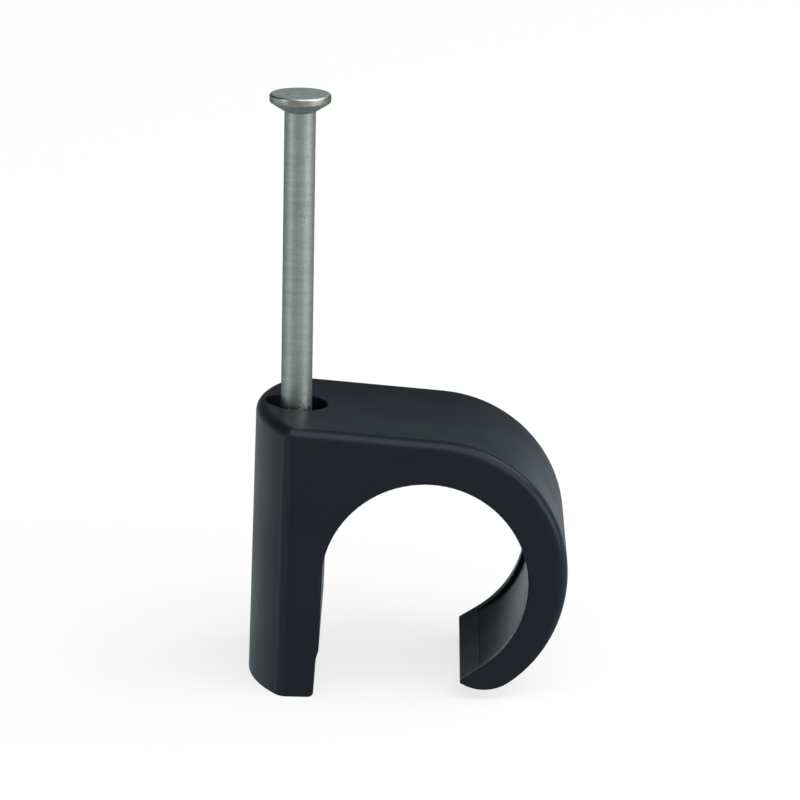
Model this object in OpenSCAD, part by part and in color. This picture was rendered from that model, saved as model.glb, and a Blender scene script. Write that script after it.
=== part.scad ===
// Nail-in cable clip: a moulded plastic hook on a post, with a masonry nail pushed part way into the post.
// Millimetres. The wall is the plane z = 0, the nail's axis is the Z axis, and the cable runs along Y.

/* [Cable seat] */
// Diameter across the lips that hold the cable
seat_d = 16.5; // [12:0.5:24]
// Front-to-back depth of the clip
clip_depth = 16.8; // [12:0.2:24]
// Height of the seat's lowest point above the wall
seat_lift = 1.3; // [0.8:0.1:3]
// How far the post's face stands inside the seat's circle, to nip the cable
seat_nip = 0.08; // [0.02:0.01:0.09]
// Width of the lip along each edge of the seat
lip_w = 1.3; // [0.6:0.1:3]
// Depth of the channel between the lips
channel_depth = 0.35; // [0.1:0.05:0.7]
// Angle below horizontal where the channel starts to get shallower towards the tip
channel_fade = 15; // [0:1:30]
// Depth that the channel still has at its end by the tip
channel_run_out = 0.04; // [0.02:0.01:0.1]
// Angle by which the channel runs past the seat's arc into the straight tip
channel_overrun = 0.6; // [0.2:0.1:2]
// Bevel on the seat's front and back edges
seat_bevel = 0.15; // [0.05:0.05:0.4]

/* [Hook] */
// Mean wall of the hook
hook_wall = 2.65; // [2.2:0.05:4]
// Shift of the outer circle from the seat, which thins the wall towards the tip
wall_shift = 0.95; // [0.4:0.05:1.1]
// Direction of that shift, up from horizontal
wall_shift_angle = 60; // [45:1:75]
// Fall of the flat top towards the hook
top_slope = 4.3; // [1:0.1:8]
// Angle below horizontal where the seat's arc ends and the straight tip begins
seat_end = 56; // [50:1:60]
// Angle below horizontal where the nose leaves the outer circle
nose_start = 54; // [50:1:60]
// Radius of the nose under the tip
nose_r = 3.45; // [2.8:0.05:3.6]
// Radius of the tip's end
tip_r = 0.15; // [0.1:0.05:0.4]
// Radius along the outer edges
edge_r = 0.8; // [0.3:0.05:0.9]

/* [Post] */
// From the nail's axis to the post's face, at the height of the seat's centre
post_inner = 2.4; // [2:0.1:5]
// From the nail's axis to the crown of the post's outer side, at the foot
post_outer = 3.6; // [3.2:0.1:6]
// Bulge of the outer side between its front and back corners
post_bulge = 2.8; // [1.5:0.1:3.5]
// Lean of the outer side towards the nail
post_lean = 1; // [0.2:0.1:2]
// Lean of the inner face
face_lean = 1.7; // [0.5:0.1:3]
// Radius of the post's upright corners
corner_r = 1.2; // [0.3:0.1:1.5]
// Radius of the foot's inner edge
foot_r = 0.45; // [0.2:0.05:0.8]
// Depth of the relief at the bottom of the inner face
relief_depth = 0.27; // [0.1:0.01:0.5]
// Height of the relief's upper end above the wall
relief_top = 3.9; // [2.5:0.1:6]
// Height of the slope that leads into the relief
relief_ramp = 1; // [0.3:0.1:1.5]

/* [Nail] */
// Diameter of the shank
nail_d = 2.5; // [1.8:0.1:3]
// Length from the head's top to the point
nail_length = 45; // [35:1:70]
// Height of the nail's point above the wall, as the clip is sold
point_inset = 2.4; // [0.5:0.1:6]
// Length of the ground point
point_length = 4.5; // [2:0.5:8]
// Diameter of the point's blunt end
point_d = 0.4; // [0.2:0.1:0.8]
// Diameter of the head
head_d = 4.9; // [4:0.05:5.4]
// Radius of the rim's upper and lower edges
rim_r = 0.2; // [0.1:0.01:0.3]
// Height of the rim's straight part
rim_h = 0.35; // [0.1:0.05:0.6]
// Rise of the head's conical underside from level
head_rise = 33; // [20:1:45]

/* [Nail hole] */
// Radial clearance of the bore around the shank
bore_clearance = 0.02; // [0.01:0.01:0.1]
// Radial clearance of the recess around the driven head
recess_clearance = 0.08; // [0.05:0.01:0.3]
// Depth of the recess below the top, at the nail's axis
recess_depth = 1.4; // [0.8:0.1:3]

/* [Hidden] */
$fn = 96;
past = 1; // how far a cut runs past the faces that it opens
far = 100; // beyond the part in any direction

// Circle of the seat, and the circle of the hook's outside
half_depth = clip_depth / 2;
seat_r = seat_d / 2;
seat_x = post_inner + (seat_r - seat_nip) / cos(face_lean);
seat_z = seat_r + seat_lift;
outer_r = seat_r + hook_wall;
outer_x = seat_x + wall_shift * cos(wall_shift_angle);
outer_z = seat_z + wall_shift * sin(wall_shift_angle);

// The channel's floor runs out on a smaller circle that leaves the floor at channel_fade, with no corner
floor_r = seat_r + channel_depth;
end_r = seat_r + channel_run_out;
run_out_shift = (floor_r ^ 2 - end_r ^ 2) / (2 * (floor_r - end_r * cos(seat_end - channel_fade)));
run_out_r = floor_r - run_out_shift;
run_out = [seat_x, seat_z] + run_out_shift * direction(-channel_fade);

// The outer edge's rounding fades out between the hook's side and its nose
fade = ((outer_r + edge_r) ^ 2 - outer_r ^ 2) / (2 * (outer_r - (outer_r + edge_r) * cos(nose_start)));
edge_step = 0.005; // how far a rounding starts outside the flat that it runs into

// Nose under the tip: its arc leaves the outer circle at nose_start, with no corner
nose = [outer_x, outer_z] + (outer_r - nose_r) * direction(-nose_start);

// Straight tip: it leaves the seat's arc at tip_from, runs along tip_run, and ends in a small bead
tip_from = [seat_x, seat_z] + seat_r * direction(-seat_end);
tip_run = direction(-seat_end - 90);
tip_up = direction(180 - seat_end);
bead_path = tip_from - tip_r * tip_up - nose;
bead_reach = bead_path * tip_run;
bead_run = sqrt(bead_reach ^ 2 - bead_path * bead_path + (nose_r - tip_r) ^ 2) - bead_reach;
bead = nose + bead_path + bead_run * tip_run;

// Outer side of the post: an arc in plan, with rounded corners
post_arc_r = (half_depth ^ 2 + post_bulge ^ 2) / (2 * post_bulge);
post_arc_x = post_arc_r - post_outer;
corner_y = half_depth + edge_step - corner_r;
corner_x = post_arc_x - sqrt((post_arc_r - corner_r) ^ 2 - corner_y ^ 2);

// Upper end of the outer side, where the top's edge rounding begins
crown_z = top_at(-post_outer) - edge_r;
crown_x = crown_z * tan(post_lean) - post_outer;
cap_x = (crown_x - outer_x) * cos(top_slope) - (crown_z - outer_z) * sin(top_slope) + post_arc_r;

// Inner side of the post's foot
foot_x = face_at(0) - relief_depth;
foot_corner = [foot_x + foot_r * tan(face_lean) - foot_r / cos(face_lean), foot_r];

// Nail and its hole
nail_r = nail_d / 2;
head_r = head_d / 2;
head_top = point_inset + nail_length;
rim = [head_r - rim_r, head_top - rim_r];
low_rim = rim - [0, rim_h];
cone_edge = low_rim + rim_r * direction(head_rise - 90);
neck_z = cone_edge.y - (cone_edge.x - nail_r) * tan(head_rise);
bore_r = nail_r + bore_clearance;
recess_r = head_r + recess_clearance;
recess_z = top_at(0) - recess_depth;
recess_cone = (recess_r - bore_r) * tan(head_rise);

// Unit vector at an angle from +X
function direction(angle) = [cos(angle), sin(angle)];

// Height of the flat top at a place along X
function top_at(x) = outer_z + outer_r / cos(top_slope) + (outer_x - x) * tan(top_slope);

// Place along X of the post's inner face at a height
function face_at(z) = post_inner + (z - seat_z) * tan(face_lean);

// An outline in X and Z, carried through the depth of the clip
module across(depth) {
  rotate([90, 0, 0])
    linear_extrude(height = depth, center = true)
      children();
}

// A section in radius and Y, turned about an axis along Y from one angle to another
module turned(x, z, from, to) {
  translate([x, 0, z])
    rotate([90, 0, 0])
      rotate_extrude(angle = to - from, start = from)
        children();
}

// Half section of the hook's wall, with its two outer edges rounded
module rim_section(r, depth) {
  translate([0, -depth / 2])
    square([r - edge_r, depth]);
  translate([0, edge_r - depth / 2])
    square([r, depth - 2 * edge_r]);
  for (side = [-1, 1])
    translate([r - edge_r, side * (depth / 2 - edge_r)])
      circle(edge_r);
}

// Plan of the post: the bulged outer side, its rounded corners and the straight flanks
module post_plan() {
  intersection() {
    translate([post_arc_x, 0])
      circle(post_arc_r);
    polygon([
      [post_arc_x, 0],
      [post_arc_x - 2 * (post_arc_x - corner_x), -2 * corner_y],
      [post_arc_x - 2 * (post_arc_x - corner_x), 2 * corner_y]
    ]);
  }
  for (side = [-1, 1])
    translate([corner_x, side * corner_y])
      circle(corner_r);
  translate([corner_x, -far])
    square([outer_x + outer_r, 2 * far]);
}

// Block of the post and the bridge, with its sloping top and rounded top edges
module post_and_bridge() {
  intersection() {
    rotate([0, post_lean, 0])
      translate([0, 0, -past])
        linear_extrude(height = top_at(-post_outer) + 2 * past)
          post_plan();
    translate([outer_x, 0, outer_z])
      rotate([0, top_slope, 0]) {
        rotate([0, -90, 0])
          linear_extrude(height = far)
            translate([-far, 0])
              rim_section(far + outer_r, clip_depth + 2 * edge_step);
      }
    translate([outer_x, 0, outer_z])
      rotate([0, top_slope, 0])
        translate([cap_x, 0, outer_r])
          rounded_cap();
    translate([-far, -half_depth, 0])
      cube([2 * far, clip_depth, far]);
  }
}

// Disc whose upper rim rounds the top edge of the post's outer side
module rounded_cap() {
  rotate_extrude() {
    translate([0, -far])
      square([post_arc_r - edge_r, far]);
    translate([0, -far])
      square([post_arc_r, far - edge_r]);
    translate([post_arc_r - edge_r, -edge_r])
      circle(edge_r);
  }
}

// Hook from the bridge down to the nose
module hook() {
  turned(outer_x, outer_z, 0, 100 - top_slope)
    rim_section(outer_r, clip_depth);
  intersection() {
    turned(outer_x, outer_z, -nose_start, 0)
      translate([0, -half_depth])
        square([outer_r, clip_depth]);
    turned(outer_x - fade, outer_z, 0, 360)
      rim_section(outer_r + fade + edge_step, clip_depth + 2 * edge_step);
  }
}

// Outline of the nose and the straight tip
module tip_outline() {
  on_nose = bead + tip_r * (bead - nose) / norm(bead - nose);
  intersection() {
    translate(nose)
      circle(nose_r + edge_step);
    polygon([
      nose,
      tip_from,
      bead + tip_r * tip_up,
      on_nose,
      on_nose + (on_nose - nose),
      nose + 2 * nose_r * direction(-nose_start - 35),
      nose + 2 * nose_r * direction(15 - nose_start)
    ]);
  }
  translate(bead)
    circle(tip_r + 2 * edge_step);
}

// Outline of the post's inner side: the leaning face, the relief at its bottom and the rounded foot edge
module post_side() {
  polygon([
    [-far, 0],
    [foot_corner.x, 0],
    foot_corner + foot_r * direction(-face_lean),
    [face_at(relief_top - relief_ramp) - relief_depth, relief_top - relief_ramp],
    [face_at(relief_top), relief_top],
    [face_at(far), far],
    [-far, far]
  ]);
  translate(foot_corner)
    circle(foot_r);
}

// Space for the cable: the seat's circle and the mouth below it, up to the post's inner side
module cable_space() {
  difference() {
    union() {
      translate([seat_x, seat_z])
        circle(seat_r);
      translate([0, -past])
        square([outer_x, seat_z + past]);
    }
    post_side();
  }
}

// Outline that limits the channel, so that it runs out towards the tip
module channel_limit() {
  translate(run_out)
    circle(run_out_r + edge_step);
  polygon([
    [seat_x, seat_z],
    [seat_x, seat_z] + far * direction(-channel_fade),
    [seat_x + far, seat_z + far],
    [-far, seat_z + far],
    [-far, seat_z]
  ]);
}

// Channel between the lips, from the tip round to the post's face
module channel() {
  intersection() {
    turned(seat_x, seat_z, -seat_end - channel_overrun, 180 - face_lean)
      translate([seat_r - past, lip_w - half_depth])
        square([past + channel_depth, clip_depth - 2 * lip_w]);
    across(clip_depth)
      channel_limit();
  }
}

// Bevels on the seat's front and back edges
module seat_bevels() {
  for (side = [-90, 90])
    translate([seat_x, 0, seat_z])
      rotate([side, 0, 0])
        translate([0, 0, half_depth - seat_bevel])
          cylinder(r1 = seat_r, r2 = seat_r + seat_bevel + past, h = seat_bevel + past);
}

// Bore for the shank, and the recess that takes the head when the nail is driven
module nail_hole() {
  rotate_extrude()
    polygon([
      [0, -past],
      [bore_r, -past],
      [bore_r, recess_z - recess_cone],
      [recess_r, recess_z],
      [recess_r, far],
      [0, far]
    ]);
}

// The moulding: post, bridge and hook in one piece
module clip_body() {
  color("#24262b")
    difference() {
      union() {
        post_and_bridge();
        hook();
        across(clip_depth)
          tip_outline();
      }
      across(clip_depth + 2 * past)
        cable_space();
      channel();
      seat_bevels();
      nail_hole();
    }
}

// The nail: ground point, plain shank and a flat head with a rounded rim and a conical underside
module nail() {
  color("#a9b0ab")
    rotate_extrude() {
      polygon([
        [0, point_inset],
        [point_d / 2, point_inset],
        [nail_r, point_inset + point_length],
        [nail_r, neck_z],
        cone_edge,
        low_rim,
        [head_r, low_rim.y],
        [head_r, rim.y],
        rim,
        [rim.x, head_top],
        [0, head_top]
      ]);
      for (edge = [rim, low_rim])
        translate(edge)
          circle(rim_r);
    }
}

clip_body();
nail();
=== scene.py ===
"""Looks of the nail-in cable clip: a black moulded clip and the zinc-plated nail started in it.

Every length in the classes is in millimetres unless its name says otherwise; Blender works in metres.
A span is a pair: where a zone begins, and where it is full.
"""

import logging
import math
from dataclasses import dataclass, field
from enum import Enum
from typing import Any

import bpy
from mathutils import Matrix, Vector

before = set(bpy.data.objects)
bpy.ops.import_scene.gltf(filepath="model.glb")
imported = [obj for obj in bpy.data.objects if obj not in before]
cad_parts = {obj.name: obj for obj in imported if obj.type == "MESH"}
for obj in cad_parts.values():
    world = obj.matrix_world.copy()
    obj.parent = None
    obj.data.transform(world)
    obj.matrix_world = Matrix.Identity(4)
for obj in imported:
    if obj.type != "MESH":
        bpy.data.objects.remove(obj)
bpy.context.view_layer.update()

MM = 0.001
WHITE = "#ffffff"
# sockets of Blender's mix node, which has one set for numbers and one for colours
FACTOR, NUMBER_A, NUMBER_B, COLOUR_A, COLOUR_B = 0, 2, 3, 6, 7
MIXED_NUMBER, MIXED_COLOUR = 0, 2
log = logging.getLogger("cable_clip")


class Piece(Enum):
    """The solids of the frame, by node name."""

    CLIP = "clip_body"
    NAIL = "nail"


def linear(hex_colour: str) -> tuple[float, float, float, float]:
    """Turns an sRGB hex colour into linear RGBA.

    Args:
        hex_colour: six hex digits, with or without a leading #.

    Returns:
        Red, green, blue and alpha, each from 0 to 1.
    """
    digits = hex_colour.lstrip("#")
    channels = [int(digits[i : i + 2], 16) / 255 for i in (0, 2, 4)]
    rgb = [c / 12.92 if c <= 0.04045 else ((c + 0.055) / 1.055) ** 2.4 for c in channels]
    return rgb[0], rgb[1], rgb[2], 1.0


def per_metre(size_mm: float) -> float:
    """Gives the pattern scale at which one feature measures size_mm."""
    return 1 / (size_mm * MM)


def add_node(
    tree: bpy.types.NodeTree,
    kind: str,
    inputs: dict[str | int, Any] | None = None,
    **settings: Any,
) -> bpy.types.Node:
    """Adds a node with its settings, and links or sets its inputs.

    Args:
        tree: the node tree to add to.
        kind: Blender's name of the node type.
        inputs: input name or index to an output socket, which is linked, or to a plain value.
        settings: the node's own properties.

    Returns:
        The new node.
    """
    node = tree.nodes.new(kind)
    for name, value in settings.items():
        setattr(node, name, value)
    for key, value in (inputs or {}).items():
        socket = node.inputs[key]
        if isinstance(value, bpy.types.NodeSocket):
            tree.links.new(value, socket)
        else:
            socket.default_value = value
    return node


def blank_material(name: str) -> tuple[bpy.types.Material, bpy.types.NodeTree]:
    """Makes a material with an empty node tree.

    Args:
        name: the material's name.

    Returns:
        The material and its tree.
    """
    material = bpy.data.materials.new(name)
    material.use_nodes = True
    material.node_tree.nodes.clear()
    return material, material.node_tree


@dataclass(frozen=True)
class Mottle:
    """A pattern of soft spots: the size of one, its finer detail, and the span of it that is used."""

    size: float
    detail: float
    roughness: float
    span: tuple[float, float] = (0.0, 1.0)


@dataclass(frozen=True)
class ClipZones:
    """Masks of the clip's zones, each an output that runs from 0 to 1."""

    edge: bpy.types.NodeSocket
    side: bpy.types.NodeSocket
    # the rounded edges without the side faces, where the painted highlight goes
    edge_highlight: bpy.types.NodeSocket
    seat: bpy.types.NodeSocket


@dataclass(frozen=True)
class MouldedPolypropylene:
    """Black polypropylene, injection moulded in a fine-eroded steel mould.

    The carbon black swallows nearly all light that enters, so the eye sees a soft satin gloss on a
    blue-black body: faint eroded grain in the gloss, and a slow drift where the melt flowed. The side
    faces look duller, the rounded edges smoother, as if rubbed, and the seat on the hook's side
    shinier, as from a polished core. The rounded edges also get a paler, bluer colour, which is a
    painted highlight along them. These zones and the gloss were matched to the object.
    """

    name: str = "Polypropylene, black, injection moulded"
    body: str = "#141518"
    body_drift: str = "#17181b"
    # a paler, bluer colour on the rounded edges: a painted highlight
    edge_highlight_colour: str = "#1b1f25"
    ior: float = 1.49
    gloss: float = 0.2
    gloss_tint: str = "#d4e0fc"
    roughness_low: float = 0.34
    roughness_high: float = 0.42
    side_roughness: float = 0.55
    edge_roughness: float = 0.3
    seat_roughness: float = 0.24
    drift: Mottle = Mottle(6.0, 3.0, 0.5, (0.3, 0.7))
    # a typical grain is about 0.03 mm, too fine to show, so it is drawn four times as coarse
    grain: Mottle = Mottle(0.12, 2.0, 0.6)
    grain_height: float = 0.004
    grain_strength: float = 0.35
    sink_strength: float = 1.0
    soft_samples: int = 6

    def zones(
        self, tree: bpy.types.NodeTree, place: bpy.types.NodeSocket, clip: "ClipBody"
    ) -> ClipZones:
        """Finds the zones of the clip whose surface differs.

        Args:
            tree: the material's node tree.
            place: the output that gives the place on the clip.
            clip: the clip's sizes.

        Returns:
            The masks of the zones.
        """
        part = add_node(tree, "ShaderNodeSeparateXYZ", {"Vector": place}).outputs
        away = add_node(tree, "ShaderNodeMath", {0: part["Y"]}, operation="ABSOLUTE").outputs[0]
        edge, side, hookward, lifted = (
            add_node(
                tree,
                "ShaderNodeMapRange",
                {"Value": value, "From Min": begins * MM, "From Max": full * MM},
            ).outputs["Result"]
            for value, (begins, full) in (
                (away, clip.edge_span),
                (away, clip.side_span),
                (part["X"], clip.seat_polish_x),
                (part["Z"], clip.seat_polish_z),
            )
        )
        inside = add_node(
            tree, "ShaderNodeMath", {0: 1.0, 1: side}, operation="SUBTRACT"
        ).outputs[0]
        # the rounded edges without the side faces get the painted highlight
        edge_highlight = add_node(
            tree, "ShaderNodeMath", {0: edge, 1: inside}, operation="MULTIPLY"
        ).outputs[0]
        spoke = place
        across_seat = (1.0, 0.0, 1.0)
        centre = tuple(c * MM for c in clip.seat_centre)
        for operand, operation in ((centre, "SUBTRACT"), (across_seat, "MULTIPLY")):
            spoke = add_node(
                tree, "ShaderNodeVectorMath", {0: spoke, 1: operand}, operation=operation
            ).outputs["Vector"]
        reach = add_node(
            tree, "ShaderNodeVectorMath", {0: spoke}, operation="LENGTH"
        ).outputs["Value"]
        seat = add_node(
            tree, "ShaderNodeMath", {0: reach, 1: clip.seat_reach * MM}, operation="LESS_THAN"
        ).outputs[0]
        for mask in (hookward, lifted, inside):
            seat = add_node(
                tree, "ShaderNodeMath", {0: seat, 1: mask}, operation="MULTIPLY"
            ).outputs[0]
        return ClipZones(edge, side, edge_highlight, seat)

    def relief(
        self,
        tree: bpy.types.NodeTree,
        place: bpy.types.NodeSocket,
        grain: bpy.types.NodeSocket,
        clip: "ClipBody",
    ) -> bpy.types.NodeSocket:
        """Shades the softened edges, the hollow of the flats and the eroded grain.

        Args:
            tree: the material's node tree.
            place: the output that gives the place on the clip.
            grain: the output that gives the grain's height.
            clip: the clip's sizes.

        Returns:
            The output that gives the normal.
        """
        normal = add_node(
            tree, "ShaderNodeBevel", {"Radius": clip.edge_softness * MM}, samples=self.soft_samples
        ).outputs["Normal"]
        across = add_node(tree, "ShaderNodeSeparateXYZ", {"Vector": place}).outputs["Y"]
        share = add_node(
            tree, "ShaderNodeMath", {0: across, 1: per_metre(clip.half_depth)}, operation="MULTIPLY"
        ).outputs[0]
        hollow = add_node(
            tree, "ShaderNodeMath", {0: share, 1: 2.0}, operation="POWER"
        ).outputs[0]
        for height, strength, depth in (
            (hollow, self.sink_strength, clip.sink),
            (grain, self.grain_strength, self.grain_height),
        ):
            normal = add_node(
                tree,
                "ShaderNodeBump",
                {"Height": height, "Strength": strength, "Distance": depth * MM, "Normal": normal},
            ).outputs["Normal"]
        return normal

    def material(self, clip: "ClipBody") -> bpy.types.Material:
        """Builds the plastic's material.

        Args:
            clip: the clip's sizes, which place the zones.

        Returns:
            The material.
        """
        material, tree = blank_material(self.name)
        place = add_node(tree, "ShaderNodeTexCoord").outputs["Object"]
        drift, grain = (
            add_node(
                tree,
                "ShaderNodeTexNoise",
                {
                    "Vector": place,
                    "Scale": per_metre(mottle.size),
                    "Detail": mottle.detail,
                    "Roughness": mottle.roughness,
                },
            ).outputs["Fac"]
            for mottle in (self.drift, self.grain)
        )
        zones = self.zones(tree, place, clip)
        colour: Any = linear(self.body)
        # the drift tints the body, and the rounded edges get a painted highlight in their colour
        for mask, over in ((drift, self.body_drift), (zones.edge_highlight, self.edge_highlight_colour)):
            colour = add_node(
                tree,
                "ShaderNodeMix",
                {FACTOR: mask, COLOUR_A: colour, COLOUR_B: linear(over)},
                data_type="RGBA",
            ).outputs[MIXED_COLOUR]
        roughness = add_node(
            tree,
            "ShaderNodeMapRange",
            {
                "Value": drift,
                "From Min": self.drift.span[0],
                "From Max": self.drift.span[1],
                "To Min": self.roughness_low,
                "To Max": self.roughness_high,
            },
        ).outputs["Result"]
        for mask, value in (
            (zones.edge, self.edge_roughness),
            (zones.side, self.side_roughness),
            (zones.seat, self.seat_roughness),
        ):
            roughness = add_node(
                tree,
                "ShaderNodeMix",
                {FACTOR: mask, NUMBER_A: roughness, NUMBER_B: value},
                data_type="FLOAT",
            ).outputs[MIXED_NUMBER]
        shader = add_node(
            tree,
            "ShaderNodeBsdfPrincipled",
            {
                "Base Color": colour,
                "Roughness": roughness,
                "Normal": self.relief(tree, place, grain, clip),
                "IOR": self.ior,
                "Specular IOR Level": self.gloss,
                "Specular Tint": linear(self.gloss_tint),
            },
        )
        add_node(tree, "ShaderNodeOutputMaterial", {"Surface": shader.outputs["BSDF"]})
        return material


@dataclass(frozen=True)
class PlatedSteel:
    """Hardened steel wire, drawn, headed and electroplated with zinc.

    The plating gives a greenish grey satin: fine crystals that sparkle a little, faint marks round the
    shank from the drawing rolls, and dark specks where the plastic has scraped it. The head's top and
    cone, which the heading die struck, are matt and mottled; its rim has a pale painted highlight in
    patches, broken by a darker brownish painted reflection.
    """

    name: str = "Steel, drawn and zinc plated"
    zinc: str = "#adb4ae"
    zinc_dull: str = "#939a95"
    speck: str = "#4b5456"
    edge_tint: str = "#a8aeac"
    # the rim's colour, in patches: a pale painted highlight and a darker brownish painted reflection
    rim_highlight: str = "#b0b1a9"
    rim_reflection: str = "#929086"
    headed: str = "#a0aeaa"
    headed_dull: str = "#8c9895"
    roughness_low: float = 0.38
    roughness_high: float = 0.5
    rim_roughness: float = 0.36
    struck_roughness: float = 0.78
    # real plating crystals are far too fine to show, so they are drawn as coarse as this
    crystal: Mottle = Mottle(0.16, 3.0, 0.6)
    crystal_height: float = 0.016
    crystal_strength: float = 0.3
    roll_mark: Mottle = Mottle(0.45, 4.0, 0.65)
    roll_stretch: tuple[float, float, float] = (0.15, 0.15, 1.0)
    tone_span: tuple[float, float] = (0.7, 1.3)
    scrape: Mottle = Mottle(0.28, 3.0, 0.7, (0.48, 0.6))
    # patches of the rim's painted highlight and painted reflection
    rim_patch: Mottle = Mottle(1.5, 2.0, 0.5, (0.4, 0.58))
    dent: Mottle = Mottle(0.45, 3.0, 0.6, (0.38, 0.62))

    def material(self, nail: "Nail") -> bpy.types.Material:
        """Builds the plating's material.

        Args:
            nail: the nail's sizes, which place the zones.

        Returns:
            The material.
        """
        material, tree = blank_material(self.name)
        place = add_node(tree, "ShaderNodeTexCoord").outputs["Object"]
        height = add_node(tree, "ShaderNodeSeparateXYZ", {"Vector": place}).outputs["Z"]
        rings = add_node(
            tree, "ShaderNodeMapping", {"Vector": place, "Scale": self.roll_stretch}
        ).outputs["Vector"]
        crystal, roll, scrape, rim_patch, dent = (
            add_node(
                tree,
                "ShaderNodeTexNoise",
                {
                    "Vector": vector,
                    "Scale": per_metre(mottle.size),
                    "Detail": mottle.detail,
                    "Roughness": mottle.roughness,
                },
            ).outputs["Fac"]
            for vector, mottle in (
                (place, self.crystal),
                (rings, self.roll_mark),
                (place, self.scrape),
                (place, self.rim_patch),
                (place, self.dent),
            )
        )
        tone = add_node(tree, "ShaderNodeMath", {0: crystal, 1: roll}, operation="ADD").outputs[0]
        tone, scrape, rim_patch, dent = (
            add_node(
                tree, "ShaderNodeMapRange", {"Value": value, "From Min": begins, "From Max": full}
            ).outputs["Result"]
            for value, (begins, full) in (
                (tone, self.tone_span),
                (scrape, self.scrape.span),
                (rim_patch, self.rim_patch.span),
                (dent, self.dent.span),
            )
        )
        rubbing, rim, top, head = (
            add_node(
                tree,
                "ShaderNodeMapRange",
                {"Value": height, "From Min": begins * MM, "From Max": full * MM},
            ).outputs["Result"]
            for begins, full in (nail.scrape_span, nail.rim_span, nail.top_span, nail.head_span)
        )
        scraped = add_node(
            tree, "ShaderNodeMath", {0: rubbing, 1: scrape}, operation="MULTIPLY"
        ).outputs[0]
        # the band of the rim below the top, which gets the painted highlight and reflection
        rim_band = add_node(
            tree, "ShaderNodeMath", {0: rim, 1: top}, operation="SUBTRACT"
        ).outputs[0]
        struck = add_node(
            tree, "ShaderNodeMath", {0: head, 1: rim_band}, operation="SUBTRACT"
        ).outputs[0]
        colour, rim_colour, struck_colour = (
            add_node(
                tree,
                "ShaderNodeMix",
                {FACTOR: mask, COLOUR_A: linear(dull), COLOUR_B: linear(bright)},
                data_type="RGBA",
            ).outputs[MIXED_COLOUR]
            for mask, dull, bright in (
                (tone, self.zinc_dull, self.zinc),
                # the rim's painted highlight, broken by patches of painted reflection
                (rim_patch, self.rim_reflection, self.rim_highlight),
                (dent, self.headed_dull, self.headed),
            )
        )
        for mask, over in (
            (scraped, linear(self.speck)),
            # the rim gets its painted highlight and painted reflection
            (rim_band, rim_colour),
            (struck, struck_colour),
        ):
            colour = add_node(
                tree,
                "ShaderNodeMix",
                {FACTOR: mask, COLOUR_A: colour, COLOUR_B: over},
                data_type="RGBA",
            ).outputs[MIXED_COLOUR]
        roughness = add_node(
            tree,
            "ShaderNodeMapRange",
            {"Value": tone, "To Min": self.roughness_high, "To Max": self.roughness_low},
        ).outputs["Result"]
        for mask, value in ((rim_band, self.rim_roughness), (struck, self.struck_roughness)):
            roughness = add_node(
                tree,
                "ShaderNodeMix",
                {FACTOR: mask, NUMBER_A: roughness, NUMBER_B: value},
                data_type="FLOAT",
            ).outputs[MIXED_NUMBER]
        bump = add_node(
            tree,
            "ShaderNodeBump",
            {
                "Height": tone,
                "Strength": self.crystal_strength,
                "Distance": self.crystal_height * MM,
            },
        ).outputs["Normal"]
        shader = add_node(
            tree,
            "ShaderNodeBsdfPrincipled",
            {
                "Base Color": colour,
                "Metallic": 1.0,
                "Roughness": roughness,
                "Normal": bump,
                "Specular Tint": linear(self.edge_tint),
            },
        )
        add_node(tree, "ShaderNodeOutputMaterial", {"Surface": shader.outputs["BSDF"]})
        return material


@dataclass(frozen=True)
class PaperSweep:
    """White seamless studio paper: even and matt, so it shows as plain white with a faint soft shadow.

    Part of what the eye sees of it is an even white, as in a cut-out photograph; reflections see that
    part dimmer and slightly cool, which was matched to the reflections on the object.
    """

    name: str = "Paper, white seamless"
    sheet: str = "#f3f0ee"
    even_white: float = 0.75
    mirrored: str = "#a4b9bd"

    def material(self) -> bpy.types.Material:
        """Builds the paper's material.

        Returns:
            The material.
        """
        material, tree = blank_material(self.name)
        sheet = add_node(tree, "ShaderNodeBsdfDiffuse", {"Color": linear(self.sheet)})
        ray = add_node(tree, "ShaderNodeLightPath").outputs
        tint = add_node(
            tree,
            "ShaderNodeMix",
            {FACTOR: ray["Is Glossy Ray"], COLOUR_A: linear(WHITE), COLOUR_B: linear(self.mirrored)},
            data_type="RGBA",
        ).outputs[MIXED_COLOUR]
        white = add_node(tree, "ShaderNodeEmission", {"Color": tint, "Strength": 1.0})
        seen = ray["Is Camera Ray"]
        for other, operation in (
            (ray["Is Glossy Ray"], "MAXIMUM"),
            (ray["Is Transmission Ray"], "MAXIMUM"),
            (self.even_white, "MULTIPLY"),
        ):
            seen = add_node(
                tree, "ShaderNodeMath", {0: seen, 1: other}, operation=operation
            ).outputs[0]
        shader = add_node(
            tree,
            "ShaderNodeMixShader",
            {0: seen, 1: sheet.outputs["BSDF"], 2: white.outputs["Emission"]},
        )
        add_node(tree, "ShaderNodeOutputMaterial", {"Surface": shader.outputs["Shader"]})
        return material


def dress(piece: Piece, material: bpy.types.Material) -> bpy.types.Object:
    """Gives a node of the frame its material.

    Args:
        piece: the node to dress.
        material: the finish that it gets.

    Returns:
        The node's object.
    """
    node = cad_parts[piece.value]
    node.data.materials.clear()
    node.data.materials.append(material)
    return node


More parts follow.
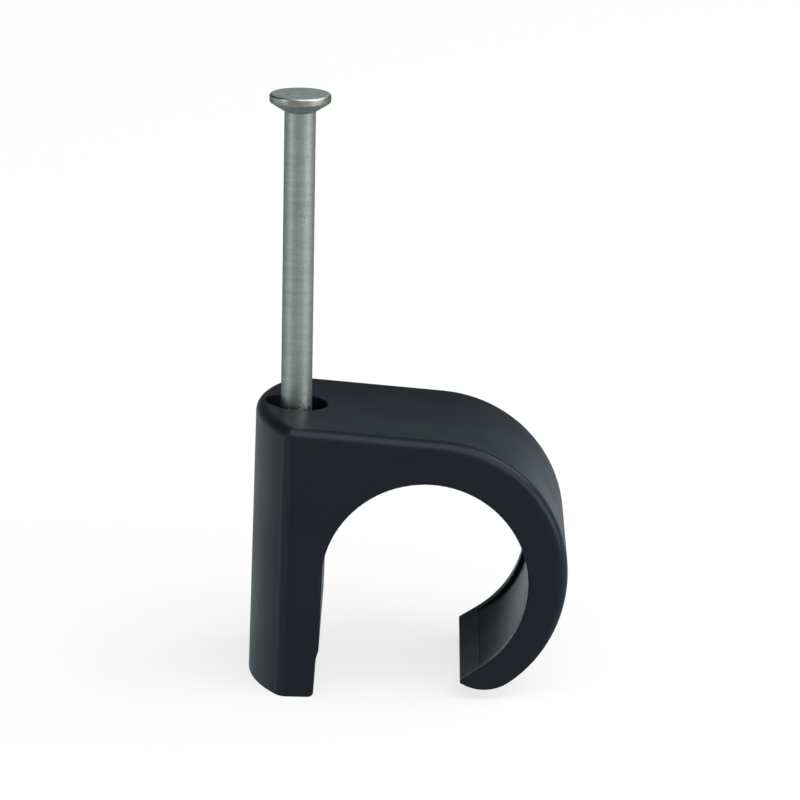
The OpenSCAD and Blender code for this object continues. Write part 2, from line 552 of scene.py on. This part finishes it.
@dataclass
class ClipBody:
    """The black moulding: post, bridge and hook.

    Its edge and side spans are measured across the clip, from its middle plane. The sink is the hollow
    of the flats across the clip, as left by a shrinking melt, drawn deeper than a real one so that it
    shows. The sink and the softness of the sharp edges are shading only.
    """

    half_depth: float = 8.4
    edge_span: tuple[float, float] = (7.65, 7.85)
    side_span: tuple[float, float] = (8.32, 8.38)
    edge_softness: float = 0.2
    seat_centre: tuple[float, float, float] = (10.574, 0.0, 9.55)
    seat_reach: float = 8.7
    seat_polish_x: tuple[float, float] = (13.0, 17.0)
    seat_polish_z: tuple[float, float] = (2.0, 7.6)
    sink: float = 0.28
    finish: MouldedPolypropylene = field(default_factory=MouldedPolypropylene)

    def build(self) -> bpy.types.Object:
        """Dresses the moulding."""
        return dress(Piece.CLIP, self.finish.material(self))


@dataclass
class Nail:
    """The masonry nail that stands in the post; its spans are heights above the foot."""

    scrape_span: tuple[float, float] = (23.0, 21.9)
    head_span: tuple[float, float] = (45.95, 46.05)
    rim_span: tuple[float, float] = (46.66, 46.7)
    top_span: tuple[float, float] = (47.36, 47.38)
    finish: PlatedSteel = field(default_factory=PlatedSteel)

    def build(self) -> bpy.types.Object:
        """Dresses the nail."""
        return dress(Piece.NAIL, self.finish.material(self))


@dataclass
class SoftBox:
    """A rectangular studio lamp, aimed at a point of the object."""

    name: str
    place: tuple[float, float, float]
    aim: tuple[float, float, float]
    width: float
    height: float
    watts: float

    def build(self) -> bpy.types.Object:
        """Makes the lamp.

        Returns:
            The lamp's object.
        """
        lamp = bpy.data.lights.new(self.name, "AREA")
        lamp.shape = "RECTANGLE"
        lamp.size = self.width * MM
        lamp.size_y = self.height * MM
        lamp.energy = self.watts
        lamp_object = bpy.data.objects.new(self.name, lamp)
        bpy.context.scene.collection.objects.link(lamp_object)
        lamp_object.location = Vector(self.place) * MM
        direction = (Vector(self.aim) - Vector(self.place)).normalized()
        lamp_object.rotation_euler = direction.to_track_quat("-Z", "Y").to_euler()
        return lamp_object


@dataclass
class Studio:
    """Pale floor, a wide soft light above the camera, a low cool glow all round, and three soft boxes.

    The dome's edges and spans are parts of the unit direction that a ray takes.
    """

    floor_side: float = 12000.0
    floor_drop: float = 0.02
    glow: float = 0.48
    glow_colour: str = "#d2e9f6"
    glow_edge: tuple[float, float] = (0.12, 0.31)
    glow_at_floor: float = 0.1
    left_span: tuple[float, float] = (-0.3, 0.05)
    glow_at_left: float = 0.45
    room: float = 0.13
    sky: float = 2.7
    sky_from: tuple[float, float, float] = (0.3, -0.45, 0.841)
    sky_edge: tuple[float, float] = (0.67, 0.93)
    paper: PaperSweep = field(default_factory=PaperSweep)
    lamps: list[SoftBox] = field(
        default_factory=lambda: [
            SoftBox("left_box", (-480, -270, 125), (0, 0, 30), 240, 240, 0.68),
            SoftBox("right_box", (500, -210, 125), (0, 0, 30), 420, 240, 1.1),
            SoftBox("high_box", (330, 150, 360), (10, 0, 15), 260, 260, 0.7),
        ]
    )

    def build_floor(self) -> bpy.types.Object:
        """Makes the floor under the foot.

        Returns:
            The floor's object.
        """
        half = self.floor_side * MM / 2
        level = -self.floor_drop * MM
        mesh = bpy.data.meshes.new("floor")
        signs = ((-1, -1), (1, -1), (1, 1), (-1, 1))
        corners = [(x * half, y * half, level) for x, y in signs]
        mesh.from_pydata(corners, [], [(0, 1, 2, 3)])
        mesh.materials.append(self.paper.material())
        floor = bpy.data.objects.new("floor", mesh)
        bpy.context.scene.collection.objects.link(floor)
        return floor

    def build_dome(self) -> None:
        """Makes the world: a wide soft light above the camera, a dim room, and a pale glow low down."""
        world = bpy.data.worlds.new("studio_dome")
        bpy.context.scene.world = world
        world.use_nodes = True
        tree = world.node_tree
        tree.nodes.clear()
        ray = add_node(tree, "ShaderNodeTexCoord").outputs["Generated"]
        part = add_node(tree, "ShaderNodeSeparateXYZ", {"Vector": ray}).outputs
        height = part["Z"]
        low = add_node(
            tree,
            "ShaderNodeMapRange",
            {
                "Value": height,
                "From Min": self.glow_edge[0],
                "From Max": self.glow_edge[1],
                "To Min": self.glow,
                "To Max": self.room,
            },
            interpolation_type="SMOOTHSTEP",
        ).outputs["Result"]
        for value, (begins, full), least in (
            (height, (0.0, self.glow_edge[0]), self.glow_at_floor),
            (part["X"], self.left_span, self.glow_at_left),
        ):
            share = add_node(
                tree,
                "ShaderNodeMapRange",
                {"Value": value, "From Min": begins, "From Max": full, "To Min": least},
                interpolation_type="SMOOTHSTEP",
            ).outputs["Result"]
            low = add_node(
                tree, "ShaderNodeMath", {0: low, 1: share}, operation="MULTIPLY"
            ).outputs[0]
        towards = add_node(
            tree, "ShaderNodeVectorMath", {0: ray, 1: self.sky_from}, operation="DOT_PRODUCT"
        ).outputs["Value"]
        high = add_node(
            tree,
            "ShaderNodeMapRange",
            {
                "Value": towards,
                "From Min": self.sky_edge[0],
                "From Max": self.sky_edge[1],
                "To Max": self.sky,
            },
            interpolation_type="SMOOTHSTEP",
        ).outputs["Result"]
        glow, sky = (
            add_node(
                tree, "ShaderNodeBackground", {"Color": linear(colour), "Strength": strength}
            ).outputs["Background"]
            for colour, strength in ((self.glow_colour, low), (WHITE, high))
        )
        both = add_node(tree, "ShaderNodeAddShader", {0: glow, 1: sky})
        add_node(tree, "ShaderNodeOutputWorld", {"Surface": both.outputs["Shader"]})

    def build(self) -> None:
        """Makes the floor, the dome and the lamps."""
        self.build_floor()
        self.build_dome()
        for lamp in self.lamps:
            lamp.build()


@dataclass
class StudioCamera:
    """A long lens at the photograph's viewing angle; its angles are in degrees."""

    lens_mm: float = 210.0
    sensor_mm: float = 36.0
    azimuth: float = 0.189
    elevation: float = 15.215
    roll: float = 1.093
    distance: float = 375.11
    target: tuple[float, float, float] = (8.322, 0.0, 22.456)
    nearest: float = 10.0
    furthest: float = 100_000.0

    def build(self) -> bpy.types.Object:
        """Makes the camera and gives it to the scene.

        Returns:
            The camera's object.
        """
        angles = (self.azimuth, self.elevation, self.roll)
        azimuth, elevation, roll = (math.radians(angle) for angle in angles)
        back = Vector(
            (
                math.sin(azimuth) * math.cos(elevation),
                -math.cos(azimuth) * math.cos(elevation),
                math.sin(elevation),
            )
        )
        level = Vector((math.cos(azimuth), math.sin(azimuth), 0))
        upright = back.cross(level)
        right = level * math.cos(roll) + upright * math.sin(roll)
        up = upright * math.cos(roll) - level * math.sin(roll)
        data = bpy.data.cameras.new("camera")
        data.lens = self.lens_mm
        data.sensor_fit = "HORIZONTAL"
        data.sensor_width = self.sensor_mm
        data.clip_start = self.nearest * MM
        data.clip_end = self.furthest * MM
        camera = bpy.data.objects.new("camera", data)
        bpy.context.scene.collection.objects.link(camera)
        turn = Matrix((right, up, back)).transposed().to_4x4()
        place = (Vector(self.target) + back * self.distance) * MM
        camera.matrix_world = Matrix.Translation(place) @ turn
        bpy.context.scene.camera = camera
        return camera


def main() -> None:
    """Builds the part's looks and the studio round it."""
    logging.basicConfig(level=logging.INFO, format="%(name)s: %(message)s")
    bpy.context.scene.view_settings.view_transform = "Standard"
    StudioCamera().build()
    for assembly in (ClipBody(), Nail()):
        piece = assembly.build()
        log.info("dressed %s, %d faces", piece.name, len(piece.data.polygons))
    Studio().build()


if __name__ == "__main__":
    main()
